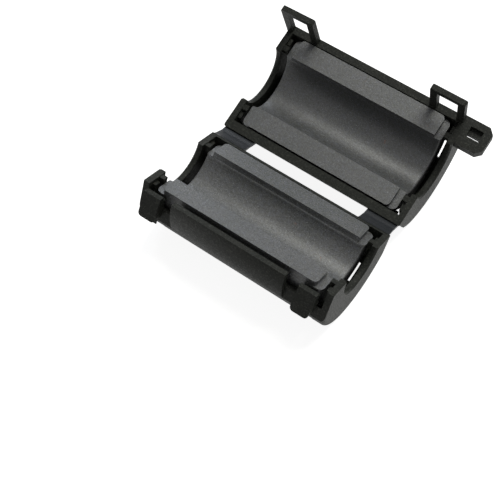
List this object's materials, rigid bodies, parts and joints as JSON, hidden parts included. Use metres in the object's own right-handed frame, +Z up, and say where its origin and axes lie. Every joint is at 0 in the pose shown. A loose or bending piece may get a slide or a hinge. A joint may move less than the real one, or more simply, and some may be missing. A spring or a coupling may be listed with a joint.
{
  "type": "clip on ferrite bead",
  "caption": "Clip-on ferrite bead lying open: a hinged nylon case whose halves each hold half of a split ferrite core and snap shut round a cable with loops over catches.",
  "frame": {"origin": "on the cable axis of the lower half, at the middle of the case's length", "axes": "+X along the cable towards the tie eye, +Y from the lower half over the hinge to the upper half, +Z up"},
  "size_m": [0.0374, 0.0425, 0.0194],
  "materials": {
    "nylon": "fine spark-eroded black nylon",
    "ferrite": "ground dark grey ferrite ceramic"
  },
  "bodies": {
    "lower_half": {"lower_case": "nylon", "lower_core": "ferrite", "left_hinge_strap": "nylon", "right_hinge_strap": "nylon"},
    "upper_half": {"upper_case": "nylon", "upper_core": "ferrite"}
  },
  "joints": [
    {"name": "hinge", "type": "hinge", "parent": "lower_half", "child": "upper_half", "pos_m": [0, 0.0104, -0.00373], "axis": [1, 0, 0], "range_deg": [-39.5, 140.5], "deforming": ["left_hinge_strap", "right_hinge_strap"]}
  ]
}
